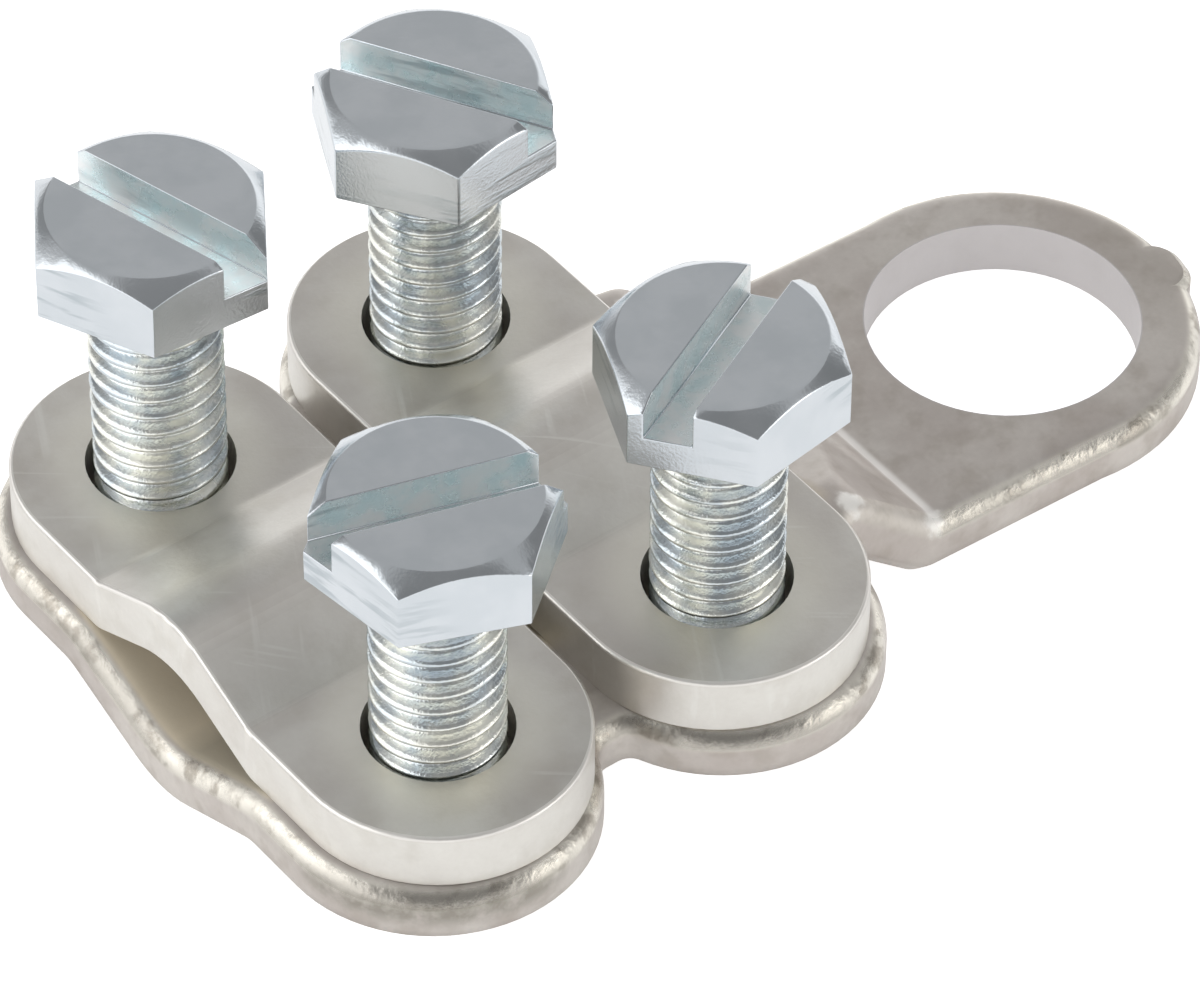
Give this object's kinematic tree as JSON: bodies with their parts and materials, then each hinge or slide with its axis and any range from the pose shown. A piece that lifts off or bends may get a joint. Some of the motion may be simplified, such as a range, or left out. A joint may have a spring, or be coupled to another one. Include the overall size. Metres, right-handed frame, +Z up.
{
  "type": "screw clamp cable lug",
  "caption": "Pressed cable lug with an eyelet ring and a ramp up to a round-bottomed cable bed, closed by arched straps on slotted hexagon screws.",
  "frame": {"origin": "on the axis of the ring's bore, level with the ring's underside", "axes": "+X from the clamp to the ring, +Y across the clamp, +Z up along the bore and the screws"},
  "size_m": [0.0468, 0.0288, 0.0201],
  "materials": {
    "tinned_lug": "matte tin plating with rounded, slightly dented rims",
    "tinned_strap": "satin tin plating on punched sheet",
    "zinc_screw": "bright blue zinc plating"
  },
  "bodies": {
    "lug": {"lug_body": "tinned_lug"},
    "strap_front": {"front_strap": "tinned_strap"},
    "strap_rear": {"rear_strap": "tinned_strap"},
    "bolt_front_left": {"screw_front_left": "zinc_screw"},
    "bolt_front_right": {"screw_front_right": "zinc_screw"},
    "bolt_rear_left": {"screw_rear_left": "zinc_screw"},
    "bolt_rear_right": {"screw_rear_right": "zinc_screw"}
  },
  "joints": [
    {"name": "front_strap_lift", "type": "slide", "parent": "lug", "child": "strap_front", "axis": [0, 0, 1], "range_m": [0, 0.00795]},
    {"name": "rear_strap_lift", "type": "slide", "parent": "lug", "child": "strap_rear", "axis": [0, 0, 1], "range_m": [0, 0.00825]},
    {"name": "screw_front_left_travel", "type": "slide", "parent": "lug", "child": "bolt_front_left", "axis": [0, 0, 1], "range_m": [-0.00895, 0.0042]},
    {"name": "screw_front_right_travel", "type": "slide", "parent": "lug", "child": "bolt_front_right", "axis": [0, 0, 1], "range_m": [-0.00795, 0.0052]},
    {"name": "screw_rear_left_travel", "type": "slide", "parent": "lug", "child": "bolt_rear_left", "axis": [0, 0, 1], "range_m": [-0.00825, 0.0049]},
    {"name": "screw_rear_right_travel", "type": "slide", "parent": "lug", "child": "bolt_rear_right", "axis": [0, 0, 1], "range_m": [-0.00825, 0.0049]}
  ]
}
